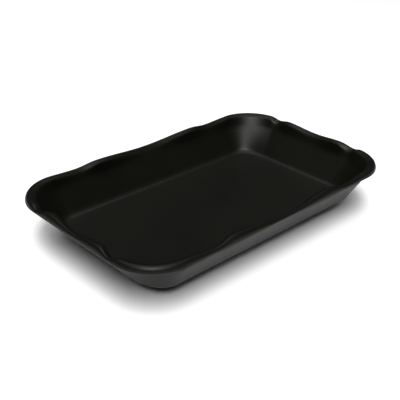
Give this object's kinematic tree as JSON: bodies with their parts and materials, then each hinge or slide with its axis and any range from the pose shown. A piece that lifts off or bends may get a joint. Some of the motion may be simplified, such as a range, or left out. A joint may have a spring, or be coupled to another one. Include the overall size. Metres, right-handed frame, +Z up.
{
  "type": "magnetic parts tray",
  "caption": "Shallow moulded plastic tray with a wavy rolled rim, held to a steel bench by rubber-covered ring magnets under its floor.",
  "frame": {"origin": "on the bench under the middle of the tray, level with the soles of the rubber boots", "axes": "+X along the tray's length, +Y across it, +Z up"},
  "size_m": [0.27, 0.1652, 0.0464],
  "materials": {
    "tray_plastic": "satin",
    "ferrite": "matte",
    "boot_rubber": "matte",
    "zinc_steel": "zinc plated"
  },
  "bodies": {
    "root": {"tray_shell": "tray_plastic", "left_ring_magnet": "ferrite", "left_rubber_boot": "boot_rubber", "left_clamp_washer": "zinc_steel", "left_magnet_screw": "zinc_steel", "right_ring_magnet": "ferrite", "right_rubber_boot": "boot_rubber", "right_clamp_washer": "zinc_steel", "right_magnet_screw": "zinc_steel"}
  },
  "joints": []
}
